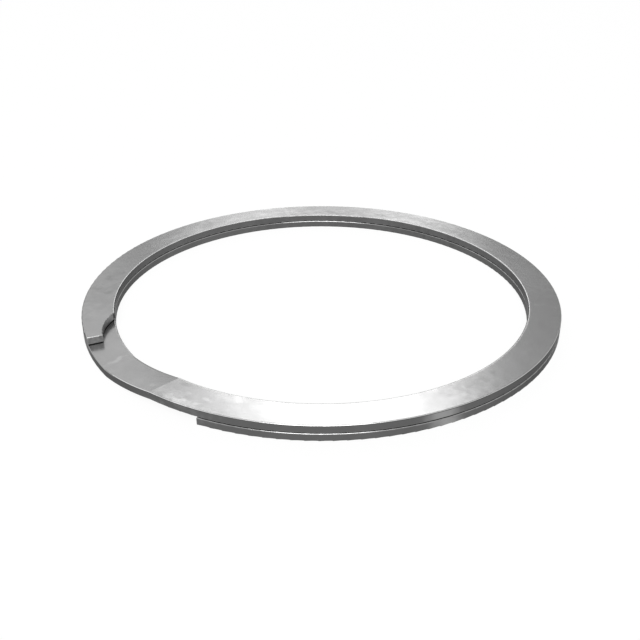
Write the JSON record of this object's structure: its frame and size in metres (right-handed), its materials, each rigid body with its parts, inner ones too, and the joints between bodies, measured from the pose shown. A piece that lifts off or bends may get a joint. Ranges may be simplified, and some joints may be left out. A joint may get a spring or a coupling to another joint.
{
  "type": "spiral retaining ring",
  "caption": "Flat-wire spiral retaining ring with a stepped seam and notched ends, sprung into a shaft groove to keep a bearing or gear in its place.",
  "frame": {"origin": "centre of the ring on the plane that it lies on, which is the under face of its lower turn", "axes": "+Z along the ring's axis, up through the upper turn; +X to the right of the picture and +Y away from its camera; the middle of the seam's step lies 225 degrees round from +X, so the upper turn's cut end is at about 205 degrees and the lower turn's at about 245 degrees"},
  "size_m": [0.062, 0.062, 0.002],
  "materials": {
    "ring_steel": "bright rolled faces, duller rolled edges and cut ends"
  },
  "bodies": {
    "root": {"spiral_ring": "ring_steel"}
  },
  "joints": []
}
